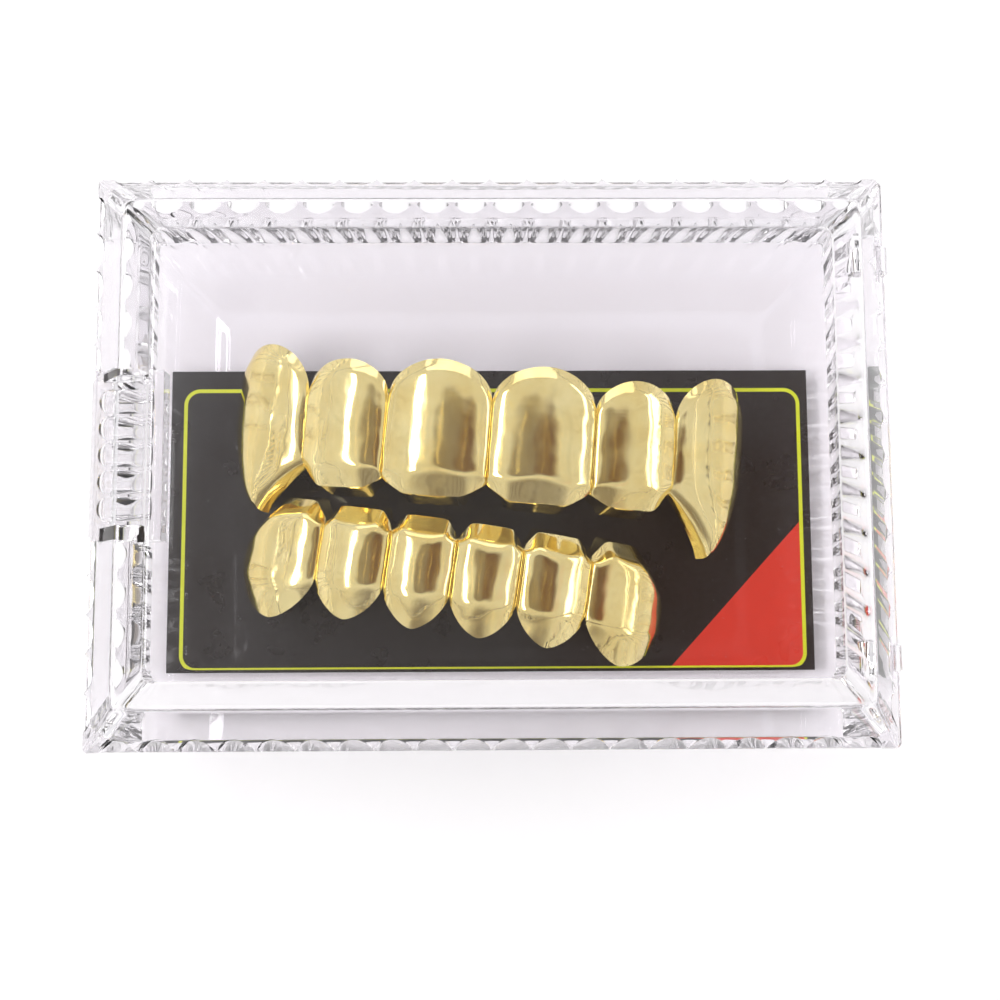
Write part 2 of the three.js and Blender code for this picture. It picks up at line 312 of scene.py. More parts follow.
def mix_colour(tree, share, first, second):
    node = add_node(tree, "ShaderNodeMix", data_type="RGBA")
    for socket, value in ((node.inputs[0], share), (node.inputs[6], first), (node.inputs[7], second)):
        if isinstance(value, bpy.types.NodeSocket):
            tree.links.new(value, socket)
        else:
            socket.default_value = value
    return node.outputs[2]


def bump(tree, height, strength, distance, normal=None):
    inputs = {"Height": height, "Strength": strength, "Distance": distance}
    if normal is not None:
        inputs["Normal"] = normal
    return add_node(tree, "ShaderNodeBump", inputs).outputs[0]


def clear_plastic():
    """Clear moulded plastic with a faint lavender tint and soft flow lines."""
    material, tree, shader, output = new_material(PLASTIC)
    tint = bpy.context.scene.denture_box.plastic
    shader.inputs["Base Color"].default_value = tint
    shader.inputs["IOR"].default_value = 1.57
    shader.inputs["Transmission Weight"].default_value = 1
    shader.inputs["Roughness"].default_value = 0
    flow = object_noise(tree, 90, 1)
    tree.links.new(bump(tree, flow, 0.12, 0.4 * MM), shader.inputs["Normal"])
    shadow = add_node(tree, "ShaderNodeLightPath").outputs["Is Shadow Ray"]
    shaded = [*(SHADOW_SHARE * value for value in tint[:3]), 1]
    clear = add_node(tree, "ShaderNodeBsdfTransparent", {"Color": shaded})
    mix = add_node(
        tree, "ShaderNodeMixShader", {0: shadow, 1: shader.outputs[0], 2: clear.outputs[0]}
    )
    tree.links.new(mix.outputs[0], output.inputs["Surface"])
    return material


def gold_plate():
    """Polished pale gold plating with soft waves and fine wiping scratches."""
    material, tree, shader, _ = new_material(GOLD)
    settings = bpy.context.scene.dentures
    patches = object_noise(tree, 260, 3)
    colour = mix_colour(tree, remap(tree, patches, 0.35, 0.7, 0, 1), settings.gold, settings.gold_deep)
    tree.links.new(colour, shader.inputs["Base Color"])
    shader.inputs["Metallic"].default_value = 1
    smears = object_noise(tree, 900, 4, stretch=(1, 0.3, 1), turn=0.5)
    tree.links.new(remap(tree, smears, 0.4, 0.75, 0.07, 0.17), shader.inputs["Roughness"])
    waves = object_noise(tree, 420, 1)
    scratches = object_noise(tree, 5200, 2, stretch=(0.04, 1, 1), turn=1.1)
    normal = bump(tree, waves, 0.35, 0.08 * MM)
    tree.links.new(bump(tree, scratches, 0.16, 0.01 * MM, normal), shader.inputs["Normal"])
    return material


def printed_card():
    """Glossy black print with a thin rounded border line and a plain red corner."""
    material, tree, shader, _ = new_material(PRINT)
    settings = bpy.context.scene.denture_card
    place = add_node(tree, "ShaderNodeTexCoord").outputs["Object"]
    split = add_node(tree, "ShaderNodeSeparateXYZ", {0: place})
    x, y = split.outputs[0], split.outputs[1]
    centre = ((BORDER_LEFT + BORDER_RIGHT) / 2, (BORDER_FRONT + BORDER_BACK) / 2)
    half = ((BORDER_RIGHT - BORDER_LEFT) / 2, (BORDER_BACK - BORDER_FRONT) / 2)
    radius = settings.border_radius
    over = []
    for value, middle, reach in zip((x, y), centre, half):
        away = calculate(tree, "ABSOLUTE", calculate(tree, "SUBTRACT", value, middle))
        over.append(calculate(tree, "SUBTRACT", away, reach - radius))
    corner = [calculate(tree, "MAXIMUM", value, 0.0) for value in over]
    squares = [calculate(tree, "MULTIPLY", value, value) for value in corner]
    outside = calculate(tree, "SQRT", calculate(tree, "ADD", *squares))
    inside = calculate(tree, "MINIMUM", calculate(tree, "MAXIMUM", *over), 0.0)
    distance = calculate(tree, "SUBTRACT", calculate(tree, "ADD", outside, inside), radius)
    edge = 0.03 * MM
    line_half = settings.border_width / 2
    line = remap(tree, calculate(tree, "ABSOLUTE", distance), line_half - edge, line_half + edge, 1, 0)
    within = remap(tree, distance, -edge, edge, 1, 0)
    run = Vector((BORDER_RIGHT - RED_CORNER_LEFT, RED_CORNER_BACK - BORDER_FRONT)).normalized()
    slant = calculate(
        tree,
        "SUBTRACT",
        calculate(tree, "MULTIPLY", calculate(tree, "SUBTRACT", x, RED_CORNER_LEFT), run.y),
        calculate(tree, "MULTIPLY", calculate(tree, "SUBTRACT", y, BORDER_FRONT), run.x),
    )
    red = calculate(tree, "MULTIPLY", remap(tree, slant, -edge, edge, 0, 1), within)
    grain = object_noise(tree, 1800, 3)
    dark = mix_colour(tree, remap(tree, grain, 0.4, 0.8, 0, 0.35), settings.black, (0.03, 0.027, 0.028, 1))
    colour = mix_colour(tree, red, dark, settings.red)
    colour = mix_colour(tree, line, colour, settings.border)
    dust = remap(tree, object_noise(tree, 3800, 2), 0.74, 0.78, 0, 0.5)
    colour = mix_colour(tree, dust, colour, (0.25, 0.24, 0.24, 1))
    tree.links.new(colour, shader.inputs["Base Color"])
    tree.links.new(remap(tree, object_noise(tree, 240, 3), 0.3, 0.7, 0.24, 0.4), shader.inputs["Roughness"])
    shader.inputs["Specular IOR Level"].default_value = 0.25
    shader.inputs["Coat Weight"].default_value = 0.25
    shader.inputs["Coat Roughness"].default_value = 0.05
    normal = bump(tree, object_noise(tree, 60, 2), 0.5, 0.3 * MM)
    tree.links.new(bump(tree, grain, 0.1, 0.02 * MM, normal), shader.inputs["Normal"])
    return material


def mesh_object(name, points, faces):
    mesh = bpy.data.meshes.new(name)
    mesh.from_pydata([tuple(point) for point in points], [], faces)
    mesh.validate()
    result = bpy.data.objects.new(name, mesh)
    bpy.context.scene.collection.objects.link(result)
    return result


def face_outwards(mesh):
    """Turns a closed mesh right side out, by its volume."""
    work = bmesh.new()
    work.from_mesh(mesh)
    bmesh.ops.recalc_face_normals(work, faces=work.faces)
    if work.calc_volume(signed=True) < 0:
        bmesh.ops.reverse_faces(work, faces=work.faces)
    work.to_mesh(mesh)
    work.free()


def shade(mesh, degrees):
    """Smooth shading with sharp edges past an angle."""
    mesh.shade_smooth()
    mesh.set_sharp_from_angle(angle=math.radians(degrees))


def bake(piece, name, spent=()):
    """Replaces an object, and the tools spent on it, by a plain mesh of its evaluated result."""
    bpy.context.view_layer.update()
    graph = bpy.context.evaluated_depsgraph_get()
    mesh = bpy.data.meshes.new_from_object(piece.evaluated_get(graph))
    discard(piece, *spent)
    mesh.name = name
    result = bpy.data.objects.new(name, mesh)
    bpy.context.scene.collection.objects.link(result)
    return result


def discard(*objects):
    for item in objects:
        bpy.data.objects.remove(item)


def combine(piece, tool, operation, name):
    """Joins or cuts a piece with a tool, which goes."""
    modifier = piece.modifiers.new("Boolean", "BOOLEAN")
    modifier.object = tool
    modifier.operation = operation
    modifier.solver = "MANIFOLD"
    return bake(piece, name, [tool])


def outline(half, settings):
    """Columns round a wall: side, share along it or turn round its end, run from its middle, fluted."""
    pitch = settings.flute_pitch
    columns = []
    for side in range(4):
        reach = half[side % 2] - CORNER
        count = int((half[side % 2] - CORNER_SOLID) * 2 / pitch)
        fluted = count * pitch / 2
        runs = [-reach, *np.linspace(-fluted, fluted, count * FLUTE_STEPS + 1), reach]
        for run in runs:
            middle = (math.floor(run / pitch) + 0.5) * pitch
            kept = side == GRIP_SIDE and abs(middle) < settings.grip_width / 2
            cut = abs(run) < fluted and not kept
            columns.append((side, run / reach, None, run, float(cut)))
        for step in range(1, CORNER_STEPS):
            turn = math.pi / 2 * step / CORNER_STEPS
            columns.append((side, 1.0, turn, 0.0, 0.0))
    return columns


def wall_ring(columns, inset, z, corner, ledge=0.0):
    """One ring of points round the box, on a rounded rectangle."""
    low = Vector((BASE_LOW.x + inset, BASE_LOW.y + inset, z))
    high = Vector((BASE_HIGH.x - inset - ledge, BASE_HIGH.y - inset, z))
    centre, half = (low + high) / 2, (high - low) / 2
    points = []
    for side, share, turn, _, _ in columns:
        run, inward = SIDES[side]
        along, across = half[side % 2], half[1 - side % 2]
        if turn is None:
            point = centre + run * share * (along - corner) - inward * across
        else:
            pivot = centre + run * (along - corner) - inward * (across - corner)
            point = pivot + corner * (run * math.sin(turn) - inward * math.cos(turn))
        points.append(point)
    return points


def wall_mesh(name, profile, settings):
    """A closed wall with a floor or roof. Each profile row is inset, z, corner, flute share, lift, ledge."""
    half = (BASE_HIGH.x, BASE_HIGH.y)
    columns = outline(half, settings)
    points, share, lift = [], [], []
    for inset, z, corner, flutes, rise, ledge in profile:
        points += wall_ring(columns, inset, z, corner, ledge)
        share += [flutes * column[4] for column in columns]
        lift += [rise] * len(columns)
    size = len(columns)
    faces = [list(range(size)), [len(points) - size + i for i in range(size)]]
    for ring in range(len(profile) - 1):
        for i in range(size):
            nxt = (i + 1) % size
            a, b = ring * size, (ring + 1) * size
            faces.append((a + i, a + nxt, b + nxt, b + i))
    wall = mesh_object(name, points, faces)
    rings = len(profile)
    attributes = {
        "share": share,
        "lift": lift,
        "run": [column[3] for column in columns] * rings,
    }
    for key, values in attributes.items():
        wall.data.attributes.new(key, "FLOAT", "POINT").data.foreach_set("value", values)
    inward = np.array([SIDES[column[0]][1] for column in columns] * rings, np.float32)
    wall.data.attributes.new("inward", "FLOAT_VECTOR", "POINT").data.foreach_set("vector", inward.ravel())
    face_outwards(wall.data)
    return wall


def geometry_tree(name, inputs):
    """A Geometry Nodes tree with named inputs, its input node and its output node."""
    tree = bpy.data.node_groups.new(name, "GeometryNodeTree")
    tree.is_modifier = True
    tree.interface.new_socket("Geometry", in_out="INPUT", socket_type="NodeSocketGeometry")
    for label, kind in inputs:
        tree.interface.new_socket(label, in_out="INPUT", socket_type=kind)
    tree.interface.new_socket("Geometry", in_out="OUTPUT", socket_type="NodeSocketGeometry")
    return tree, tree.nodes.new("NodeGroupInput"), tree.nodes.new("NodeGroupOutput")


def finish_tree(tree, given, output, geometry):
    realized = add_node(tree, "GeometryNodeRealizeInstances", {"Geometry": geometry})
    painted = add_node(
        tree,
        "GeometryNodeSetMaterial",
        {"Geometry": realized.outputs[0], "Material": given.outputs["Material"]},
    )
    tree.links.new(painted.outputs[0], output.inputs[0])


def run_tree(piece, tree, values, name):
    """Runs a tree on a piece with values for its named inputs, and returns the plain result."""
    modifier = piece.modifiers.new(tree.name, "NODES")
    modifier.node_group = tree
    identifiers = {item.name: item.identifier for item in tree.interface.items_tree if item.in_out == "INPUT"}
    for key, value in values.items():
        modifier[identifiers[key]] = value
    return bake(piece, name)


def flute_tree():
    """Presses round flutes into a wall that carries its run, inward direction, share and lift."""
    kinds = [("Pitch", "NodeSocketFloat"), ("Depth", "NodeSocketFloat"), ("Material", "NodeSocketMaterial")]
    tree, given, output = geometry_tree("wall_flutes", kinds)
    pitch, depth = given.outputs["Pitch"], given.outputs["Depth"]

    def attribute(name, kind="FLOAT"):
        node = add_node(tree, "GeometryNodeInputNamedAttribute", {"Name": name}, data_type=kind)
        return node.outputs["Attribute"]

    half = calculate(tree, "MULTIPLY", pitch, 0.5)
    across = calculate(tree, "SUBTRACT", calculate(tree, "WRAP", attribute("run"), pitch, 0.0), half)
    squares = calculate(
        tree, "ADD", calculate(tree, "MULTIPLY", half, half), calculate(tree, "MULTIPLY", depth, depth)
    )
    radius = calculate(tree, "DIVIDE", squares, calculate(tree, "MULTIPLY", depth, 2.0))
    chord = calculate(
        tree,
        "SUBTRACT",
        calculate(tree, "MULTIPLY", radius, radius),
        calculate(tree, "MULTIPLY", across, across),
    )
    bow = calculate(tree, "SQRT", calculate(tree, "MAXIMUM", chord, 0.0))
    cut = calculate(tree, "SUBTRACT", bow, calculate(tree, "SUBTRACT", radius, depth))
    cut = calculate(tree, "MULTIPLY", calculate(tree, "MAXIMUM", cut, 0.0), attribute("share"))
    raised = add_node(tree, "ShaderNodeCombineXYZ", {2: attribute("lift")}).outputs[0]
    way = add_node(
        tree, "ShaderNodeVectorMath", {0: attribute("inward", "FLOAT_VECTOR"), 1: raised}, operation="ADD"
    )
    offset = add_node(
        tree, "ShaderNodeVectorMath", {0: way.outputs[0], "Scale": cut}, operation="SCALE"
    ).outputs[0]
    moved = add_node(
        tree, "GeometryNodeSetPosition", {"Geometry": given.outputs["Geometry"], "Offset": offset}
    )
    finish_tree(tree, given, output, moved.outputs[0])
    return tree


def row_tree():
    """Repeats a piece in a row along Y, centred on where it stands."""
    kinds = [("Count", "NodeSocketInt"), ("Pitch", "NodeSocketFloat"), ("Material", "NodeSocketMaterial")]
    tree, given, output = geometry_tree("row_of_grooves", kinds)
    count, pitch = given.outputs["Count"], given.outputs["Pitch"]
    spread = calculate(tree, "MULTIPLY", calculate(tree, "SUBTRACT", count, 1.0), pitch)
    start = calculate(tree, "MULTIPLY", spread, -0.5)
    line = add_node(
        tree,
        "GeometryNodeMeshLine",
        {
            "Count": count,
            "Start Location": add_node(tree, "ShaderNodeCombineXYZ", {1: start}).outputs[0],
            "Offset": add_node(tree, "ShaderNodeCombineXYZ", {1: pitch}).outputs[0],
        },
    )
    copies = add_node(
        tree,
        "GeometryNodeInstanceOnPoints",
        {"Points": line.outputs[0], "Instance": given.outputs["Geometry"]},
    )
    finish_tree(tree, given, output, copies.outputs[0])
    return tree


def block(name, low, high, round_edge=0.0):
    """A block, with rounded edges where a radius is given."""
    work = bmesh.new()
    bmesh.ops.create_cube(work, size=1)
    low, high = Vector(low), Vector(high)
    for vert in work.verts:
        vert.co = Vector(b if c > 0 else a for a, b, c in zip(low, high, vert.co))
    if round_edge:
        bmesh.ops.bevel(
            work, geom=list(work.edges), offset=round_edge, segments=4, profile=0.5, affect="EDGES"
        )
    mesh = bpy.data.meshes.new(name)
    work.to_mesh(mesh)
    work.free()
    result = bpy.data.objects.new(name, mesh)
    bpy.context.scene.collection.objects.link(result)
    return result


def turned(name, profile, axis_from, axis_to, steps):
    """A closed body turned about the line between two points. Profile rows are share along it and radius."""
    way = axis_to - axis_from
    turn = way.to_track_quat("Z", "Y")
    points = []
    for share, radius in profile:
        for i in range(steps):
            angle = 2 * math.pi * i / steps
            spoke = turn @ Vector((math.cos(angle) * radius, math.sin(angle) * radius, 0))
            points.append(axis_from + way * share + spoke)
    faces = [list(range(steps)), [len(points) - steps + i for i in range(steps)]]
    for ring in range(len(profile) - 1):
        for i in range(steps):
            nxt = (i + 1) % steps
            a, b = ring * steps, (ring + 1) * steps
            faces.append((a + i, a + nxt, b + nxt, b + i))
    result = mesh_object(name, points, faces)
    face_outwards(result.data)
    return result


def rod_along_y(name, radius, length, y, steps=48):
    """A rod on the hinge axis."""
    ends = [Vector((HINGE.x, y + way * length / 2, HINGE.z)) for way in (-1, 1)]
    return turned(name, [(0, radius), (1, radius)], *ends, steps)


def base_profile(settings):
    """Inset, z, corner, flute share, lift and ledge of the tray's section, from its inner floor round."""
    wall, floor = settings.wall, settings.floor
    inner = INNER_CORNER
    rows = [(wall + 1.6 * MM, floor, inner), (wall + 0.7 * MM, floor, inner)]
    for degrees in (30, 60, 90):
        angle = math.radians(degrees)
        radius = FLOOR_FILLET
        rows.append((
            wall + radius - radius * math.sin(angle), floor + radius - radius * math.cos(angle), inner
        ))
    soft = EDGE_SOFT
    rows += [
        (wall, RIM_TOP - soft, inner),
        (wall - soft * 0.3, RIM_TOP - soft * 0.3, inner),
        (wall - soft, RIM_TOP, inner),
        (soft, RIM_TOP, CORNER),
        (soft * 0.3, RIM_TOP - soft * 0.3, CORNER),
        (0, RIM_TOP - soft, CORNER),
        (0, RIM_FOOT + soft, CORNER),
        (soft * 0.3, RIM_FOOT + soft * 0.3, CORNER),
        (soft, RIM_FOOT, CORNER),
    ]
    plain = [(*row, 0, 0, 0) for row in rows]
    fluted = [
        (RIM_REACH, RIM_FOOT),
        (RIM_REACH, RIM_FOOT - soft),
        (RIM_REACH, 2 * soft),
        (RIM_REACH + soft * 0.6, soft * 0.6),
        (RIM_REACH + 2 * soft, 0),
    ]
    plain += [(inset, z, CORNER, 1, 0, 0) for inset, z in fluted]
    plain.append((wall + 0.5 * MM, 0, CORNER, 0, 0, 0))
    return plain


def lid_profile(settings):
    """The same for the lid, from its inner roof round its edge to its top."""
    wall, bevel, top = settings.wall, settings.bevel, LID_HIGH.z
    inner_slope = (ROOF_INNER - LID_FOOT) / (ROOF_INSET - wall)
    slope = (top - BEVEL_FOOT) / bevel
    soft = EDGE_SOFT
    window = WINDOW_CORNER
    rows = [
        (ROOF_INSET + 1.2 * MM, ROOF_INNER, window),
        (ROOF_INSET + 0.35 * MM, ROOF_INNER, window),
        (ROOF_INSET + 0.02 * MM, ROOF_INNER - 0.06 * MM, window),
        (ROOF_INSET - 0.25 * MM, ROOF_INNER - 0.25 * MM * inner_slope, window),
        (wall + soft, LID_FOOT + soft * inner_slope, INNER_CORNER),
        (wall, LID_FOOT + soft * 0.3, INNER_CORNER),
        (wall - soft, LID_FOOT, INNER_CORNER),
    ]
    result = [(*row, 0, 0, 0) for row in rows]
    edge = [
        (2 * soft, LID_FOOT, 0),
        (soft * 0.5, LID_FOOT + soft * 0.3, 0),
        (0, LID_FOOT + soft, 0),
        (0, BEVEL_FOOT - soft, slope),
        (soft * 0.25, BEVEL_FOOT, slope),
    ]
    result += [(inset, z, CORNER, 1, rise, HINGE_LEDGE) for inset, z, rise in edge]
    flat = settings.flute_depth + 0.16 * MM
    result.append((soft, BEVEL_FOOT + soft * slope, CORNER, 1, slope, HINGE_LEDGE))
    for inset in (flat, bevel - BEVEL_FILLET):
        ledge = HINGE_LEDGE * (1 - inset / bevel)
        result.append((inset, BEVEL_FOOT + inset * slope, CORNER, 0, 0, ledge))
    for past, drop in ((-0.12, 0.24), (0.06, 0.08), (0.28, 0.02), (0.55, 0)):
        result.append((bevel + past * MM, top - drop * MM, CORNER * 1.6, 0, 0, 0))
    result.append((bevel + 2.2 * MM, top, CORNER * 1.6, 0, 0, 0))
    return result


class DENTURES_OT_base(bpy.types.Operator):
    """Builds the clear tray with its fluted wall, rim and hinge eyes"""

    bl_idname = "dentures.base"
    bl_label = "Tray"

    def execute(self, context):
        settings = context.scene.denture_box
        wall = wall_mesh("tray_wall", base_profile(settings), settings)
        values = {
            "Pitch": settings.flute_pitch,
            "Depth": settings.flute_depth,
            "Material": bpy.data.materials[PLASTIC],
        }
        tray = run_tree(wall, flute_tree(), values, "clear_tray")
        for way in (-1, 1):
            y = way * EYE_OFFSET
            eye = rod_along_y("eye", EYE_RADIUS, EYE_LENGTH, y)
            half = EYE_LENGTH / 2
            stem = block(
                "stem",
                (HINGE.x - EYE_RADIUS, y - half, RIM_TOP - 0.7 * MM),
                (HINGE.x + EYE_RADIUS - 0.02 * MM, y + half, HINGE.z),
            )
            tray = combine(tray, stem, "UNION", "clear_tray")
            tray = combine(tray, eye, "UNION", "clear_tray")
            bore = rod_along_y("bore", PIN_RADIUS + PIN_CLEARANCE, EYE_LENGTH * 1.5, y)
            tray = combine(tray, bore, "DIFFERENCE", "clear_tray")
        finish_plastic(tray, "tray", "box_base")
        return {"FINISHED"}


def finish_plastic(piece, body, node):
    """Shades a clear piece, gives it its material and lets it stand for its node."""
    shade(piece.data, 28)
    piece.data.materials.clear()
    piece.data.materials.append(bpy.data.materials[PLASTIC])
    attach(piece, body)
    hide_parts(node)


class DENTURES_OT_lid(bpy.types.Operator):
    """Builds the clear lid with its fluted bevel, thumb grip and hinge pins"""

    bl_idname = "dentures.lid"
    bl_label = "Lid"

    def execute(self, context):
        settings = context.scene.denture_box
        plastic = bpy.data.materials[PLASTIC]
        wall = wall_mesh("lid_wall", lid_profile(settings), settings)
        values = {"Pitch": settings.flute_pitch, "Depth": settings.flute_depth, "Material": plastic}
        lid = run_tree(wall, flute_tree(), values, "clear_lid")

        side = LID_LOW.x
        groove_floor = LID_FOOT + GROOVE_RISE
        ridge = groove_floor + RIDGE_HEIGHT
        backing_wall = settings.wall / 2
        half = settings.grip_width / 2
        backing = block(
            "backing",
            (side + backing_wall, -half - backing_wall, groove_floor - GROOVE_BACKING),
            (side + settings.grip_depth + backing_wall, half + backing_wall, ridge),
        )
        recess = block(
            "recess",
            (side - CUT_PAST, -half, ridge),
            (side + settings.grip_depth, half, LID_HIGH.z + CUT_PAST),
        )
        radius = settings.groove_radius
        steps = [math.radians(angle) for angle in range(3, 91, 10)]
        length = settings.grip_depth - GROOVE_START
        profile = [(radius / length * (1 - math.cos(a)), radius * math.sin(a)) for a in steps]
        profile.append((1, radius))
        height = groove_floor + radius
        start = Vector((side + GROOVE_START, 0, height))
        cutter = turned("groove_cutter", profile, start, start + Vector((length, 0, 0)), 40)
        values = {"Count": settings.groove_count, "Pitch": settings.groove_pitch, "Material": plastic}
        grooves = run_tree(cutter, row_tree(), values, "grooves")
        lid = combine(lid, backing, "UNION", "clear_lid")
        lid = combine(lid, recess, "DIFFERENCE", "clear_lid")
        lid = combine(lid, grooves, "DIFFERENCE", "clear_lid")

        room = EYE_LENGTH + 2 * HINGE_CLEARANCE
        for way in (-1, 1):
            y = way * EYE_OFFSET
            space = rod_along_y("space", EYE_RADIUS + HINGE_CLEARANCE, room, y)
            lid = combine(lid, space, "DIFFERENCE", "clear_lid")
            pin = rod_along_y("pin", PIN_RADIUS, room + CUT_PAST, y, 32)
            lid = combine(lid, pin, "UNION", "clear_lid")
        finish_plastic(lid, "lid", "box_lid")
        return {"FINISHED"}


def arc(u, power):
    return max(1 - abs(u) ** power, 0) ** (1 / power)


def soft_ramp(x, softness):
    """Nought below nought and x above it, with a soft turn between."""
    return (x + math.hypot(x, softness)) / 2


def chamfered(u, share):
    """A flat edge whose ends are cut off aslant over a share of its half."""
    ramp = soft_ramp((abs(u) - 1 + share) / share, 0.2)
    return 1 - ramp / soft_ramp(1, 0.2)


def crown(u):
    """Roundness across a cap, evenly bent from side to side."""
    return max(1 - u * u, 0) ** CROWN_BEND


def smoothstep(value, low, high):
    share = min(max((value - low) / (high - low), 0), 1)
    return share * share * (3 - 2 * share)


def denture_columns(denture):
    """Lays the caps along the arch, and gives the section of each column of the shell."""
    caps = denture["caps"]
    height = denture["cap_height"]
    widths = [cap["width"] * denture["cap_width"] for cap in caps]
    turns = [math.radians(cap["turn"]) for cap in caps]
    x = -sum(width * math.cos(turn) for width, turn in zip(widths, turns))
    z = 0.0
    columns = []
    order = [(i, -1) for i in reversed(range(len(caps)))] + [(i, 1) for i in range(len(caps))]
    for index, side in order:
        cap = caps[index]
        last = index == len(caps) - 1
        turn = turns[index] * side
        dx, dz = widths[index] * math.cos(turn), -widths[index] * math.sin(turn)
        inner_turn = 0 if index == 0 else (turns[index - 1] + turns[index]) / 2
        outer_turn = turns[index] if last else (turns[index + 1] + turns[index]) / 2
        for i in range(CAP_COLUMNS + 1):
            if i == 0 and columns:
                continue
            u = math.sin(math.pi * (i / CAP_COLUMNS - 0.5))
            outward = u * side
            end_turn = outer_turn if outward > 0 else inner_turn
            normal_turn = (turns[index] + (end_turn - turns[index]) * abs(u) ** 3) * side
            joint = cap if outward > 0 or index == 0 else caps[index - 1]
            free = outward > 0 and last
            edge_depth = END_DEPTH if free else WEB_DEPTH
            if cap.get("fang"):
                bite_shape = 1 - abs(u) ** (FANG_OUTER_POWER if outward > 0 else FANG_INNER_POWER)
            else:
                bite_shape = arc(u, END_POWER) if free else chamfered(u, denture["chamfer"])
            reach = cap.get("right_bite", cap["bite"]) if side > 0 else cap["bite"]
            depth = denture["cap_depth"] * cap["depth"] * (edge_depth + (1 - edge_depth) * crown(u))
            arch = arc(u, denture["gum_power"])
            gum = joint["joint_gum"] + (cap["gum"] - joint["joint_gum"]) * arch
            bite = joint["joint_bite"] + (reach - joint["joint_bite"]) * bite_shape
            wall = cap["wall"] * BITE_WALL * smoothstep(1 - abs(u), 0, 0.1)
            columns.append(dict(
                x=x + dx * (u + 1) / 2,
                z=z + dz * (u + 1) / 2,
                turn=normal_turn,
                depth=depth,
                gum=height * gum,
                bite=height * bite,
                wall=wall,
                flare=cap["wall"] * BITE_FLARE * smoothstep(bite_shape, 0.75, 0.93),
                facet=0 if cap.get("fang") else denture["facet"] * math.sqrt(max(1 - u * u, 0)),
                drop=denture["facet_drop"],
                gum_facet=denture["gum_facet"] * arch ** denture["gum_line"],
                bow=denture["bow"],
            ))
        x += dx
        z += dz
    return columns


def face_point(column, bite_side, row):
    """One point of the outer face, in millimetres: from the gum edge over the face to the folded bite."""
    half = (column["bite"] + column["gum"]) / 2
    v = math.sin(math.pi * (min(row / FACE_ROWS, 1) - 0.5))
    along = (column["bite"] - column["gum"]) / 2 + v * half
    rounded = arc(v, FACE_POWER)
    blend = smoothstep(column["facet"], 0, 0.8)
    if v > 0 and blend:
        crease = 1 - column["facet"] / half
        ramp = soft_ramp((v - crease) / (1 - crease), CREASE_SOFTNESS)
        start = soft_ramp(-crease / (1 - crease), CREASE_SOFTNESS)
        rounded += (1 - column["drop"] * (ramp - start) - rounded) * blend
    out = column["depth"] * rounded
    if v < 0:
        flat = half - column["gum_facet"]
        level = 1 - column["bow"] * v * v
        fall = soft_ramp(-v * half - flat, CREASE_SOFTNESS) - soft_ramp(-flat, CREASE_SOFTNESS)
        out = column["depth"] * level - GUM_FALL * fall * min(column["depth"], 1)
    if row > FACE_ROWS:
        share = (row - FACE_ROWS) / FOLD_ROWS
        along += column["flare"] * share
        out += (-(column["wall"] + SHELL / 4) - out) * share
    turn = column["turn"]
    return Vector((column["x"] + out * math.sin(turn), bite_side * along, column["z"] + out * math.cos(turn)))


def sheet_normals(sheet):
    """Normals of a grid of points, by its rows and columns."""
    across = np.gradient(sheet, axis=0)
    down = np.gradient(sheet, axis=1)
    normal = np.cross(across, down)
    length = np.linalg.norm(normal, axis=2, keepdims=True)
    return normal / np.maximum(length, 1e-9)


def denture_object(denture, dent):
    """A denture as a closed shell in its place on the card."""
    columns = denture_columns(denture)
    side = denture["bite_side"]
    rows = FACE_ROWS + FOLD_ROWS + 1
    outer = np.array([[face_point(column, side, row) for row in range(rows)] for column in columns])
    normal = sheet_normals(outer) * side
    for i in range(outer.shape[0]):
        for j in range(rows):
            place = Vector(outer[i, j])
            wave = noise.noise(place * 0.42) + 0.45 * noise.noise(place * 1.1)
            outer[i, j] += normal[i, j] * wave * dent / MM
    thick = [SHELL + (FOLD_SHELL - SHELL) * smoothstep(j, FACE_ROWS - 8, FACE_ROWS - 1) for j in range(rows)]
    inner = outer - normal * np.array(thick)[None, :, None]
    size = len(columns) * rows
    at = np.arange(2 * size).reshape(2, len(columns), rows)
    faces = []
    for i in range(len(columns) - 1):
        for j in range(rows - 1):
            for s in (0, 1):
                faces.append((at[s, i, j], at[s, i, j + 1], at[s, i + 1, j + 1], at[s, i + 1, j]))
        for j in (0, rows - 1):
            faces.append((at[0, i, j], at[0, i + 1, j], at[1, i + 1, j], at[1, i, j]))
    for i in (0, len(columns) - 1):
        for j in range(rows - 1):
            faces.append((at[0, i, j], at[0, i, j + 1], at[1, i, j + 1], at[1, i, j]))
    points = np.concatenate([outer.reshape(-1, 3), inner.reshape(-1, 3)])
    turn = math.radians(denture["turn"])
    spin = Matrix.Rotation(turn, 3, "Z")
    points = points @ np.array(spin).T
    points[:, 0] += denture["place"][0]
    points[:, 1] += denture["place"][1]
    points[:, 2] += denture["low"].z / MM - points[:, 2].min()
    result = mesh_object(denture["name"], points * MM, [tuple(int(v) for v in face) for face in faces])
    face_outwards(result.data)
    return result


class DENTURES_OT_dentures(bpy.types.Operator):
    """Builds the upper denture with its fangs and the lower denture"""

    bl_idname = "dentures.dentures"
    bl_label = "Dentures"

    def execute(self, context):
        for denture in (UPPER, LOWER):
            piece = denture_object(denture, context.scene.dentures.dent)
            shade(piece.data, 50)
            piece.data.materials.append(bpy.data.materials[GOLD])
            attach(piece, "tray")
            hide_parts(denture["node"])
        return {"FINISHED"}


class DENTURES_OT_card(bpy.types.Operator):
    """Builds the printed card with softened edges"""

    bl_idname = "dentures.card"
    bl_label = "Card"

    def execute(self, context):
        card = block("printed_card_sheet", CARD_LOW, CARD_HIGH, 0.08 * MM)
        shade(card.data, 40)
        card.data.materials.append(bpy.data.materials[PRINT])
        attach(card, "tray")
        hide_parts("display_card")
        return {"FINISHED"}


